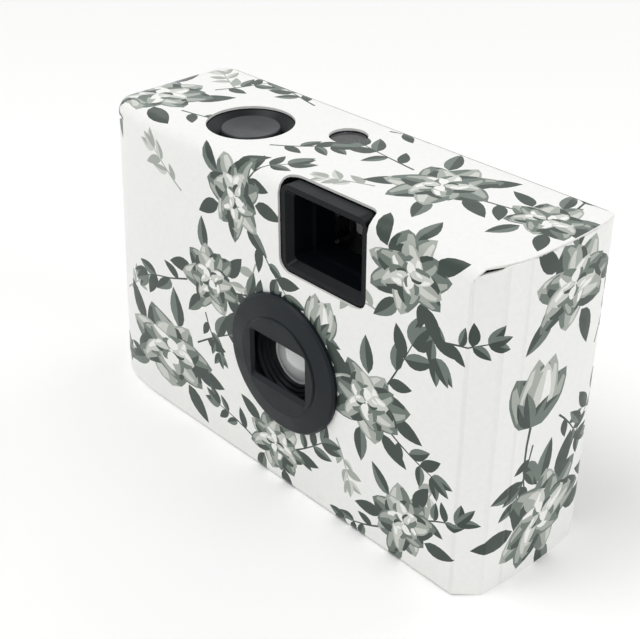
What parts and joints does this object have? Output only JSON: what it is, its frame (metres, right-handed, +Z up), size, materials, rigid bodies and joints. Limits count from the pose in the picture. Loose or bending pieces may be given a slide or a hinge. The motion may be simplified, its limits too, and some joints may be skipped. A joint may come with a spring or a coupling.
{
  "type": "disposable film camera",
  "caption": "Single-use 35 mm film camera: a folded card sleeve round a black plastic body, with a stepped lens ring, viewfinder, shutter button, counter and winding wheel.",
  "frame": {"origin": "bottom centre of the bounding box, on the surface that the camera stands on", "axes": "+X to the right as the camera is seen from the front, +Y from front to back, +Z up; the lens looks along -Y"},
  "size_m": [0.105, 0.0318, 0.062],
  "materials": {
    "printed_card": "gloss coated white card with a grey-green print",
    "black_plastic": "fine matte",
    "inner_plastic": "matte, light-tight black",
    "blue_black_plastic": "fine matte",
    "gloss_black_plastic": "polished",
    "grey_plastic": "satin",
    "pale_plastic": "satin",
    "clear_plastic": "polished clear",
    "steel": "thin bright sheet and wire",
    "black_steel": "blackened thin sheet",
    "film": "dull brown film"
  },
  "bodies": {
    "body": {"card_sleeve": "printed_card", "front_cover": "black_plastic", "rear_cover": "black_plastic", "cartridge_door": "black_plastic", "cartridge_shell": "steel", "cartridge_top_cap": "steel", "cartridge_bottom_cap": "steel", "main_chassis": "inner_plastic", "top_plate": "inner_plastic", "wind_pawl": "inner_plastic", "lens_ring": "blue_black_plastic", "lens_retainer": "black_plastic", "taking_lens": "clear_plastic", "lens_mount": "inner_plastic", "viewfinder_frame": "gloss_black_plastic", "finder_front_lens": "clear_plastic", "finder_rear_lens": "clear_plastic", "counter_window": "clear_plastic", "film_strip": "film", "button_spring": "steel", "striker_spring": "steel", "blade_spring": "steel"},
    "wind": {"thumbwheel": "grey_plastic", "cartridge_spool": "inner_plastic"},
    "film_drive": {"sprocket": "inner_plastic", "cam_wheel": "inner_plastic"},
    "supply": {"film_roll": "film", "supply_spool": "inner_plastic"},
    "counter": {"counter_disc": "pale_plastic"},
    "button": {"shutter_button": "grey_plastic"},
    "release": {"release_lever": "grey_plastic"},
    "striker": {"striker_lever": "black_steel"},
    "blade": {"shutter_blade": "black_steel"}
  },
  "joints": [
    {"name": "thumb_wind", "type": "hinge", "parent": "body", "child": "wind", "pos_m": [-0.0309, 0.00128, 0], "axis": [0, 0, 1], "continuous": true},
    {"name": "sprocket_turn", "type": "hinge", "parent": "body", "child": "film_drive", "pos_m": [-0.0114, 0.00583, 0], "axis": [0, 0, 1], "continuous": true},
    {"name": "supply_turn", "type": "hinge", "parent": "body", "child": "supply", "pos_m": [0.0394, 0.00168, 0], "axis": [0, 0, 1], "continuous": true},
    {"name": "counter_turn", "type": "hinge", "parent": "body", "child": "counter", "pos_m": [-0.0018, 0.00487, 0], "axis": [0, 0, 1], "continuous": true},
    {"name": "button_press", "type": "slide", "parent": "body", "child": "button", "axis": [0, 0, -1], "range_m": [0, 0.001], "stiffness_N_per_m": 900, "springref_m": -0.0015, "deforming": ["button_spring"]},
    {"name": "release_rock", "type": "hinge", "parent": "body", "child": "release", "pos_m": [-0.009, -0.00313, 0.051], "axis": [0, -1, 0], "range_deg": [0, 11.6]},
    {"name": "striker_swing", "type": "hinge", "parent": "body", "child": "striker", "pos_m": [-0.003, -0.00013, 0], "axis": [0, 0, 1], "range_deg": [-25, 0], "stiffness_Nm_per_rad": 0.002},
    {"name": "blade_swing", "type": "hinge", "parent": "body", "child": "blade", "pos_m": [0.0126, -0.0074, 0.033], "axis": [0, 1, 0], "range_deg": [0, 36], "stiffness_Nm_per_rad": 0.0005, "springref_deg": -17.19}
  ],
  "couplings": [
    {"joint": "sprocket_turn", "follows": "thumb_wind", "ratio": 1},
    {"joint": "supply_turn", "follows": "thumb_wind", "ratio": 0.7059},
    {"joint": "counter_turn", "follows": "thumb_wind", "ratio": -0.025},
    {"joint": "release_rock", "follows": "button_press", "rad_per_m": 202}
  ]
}
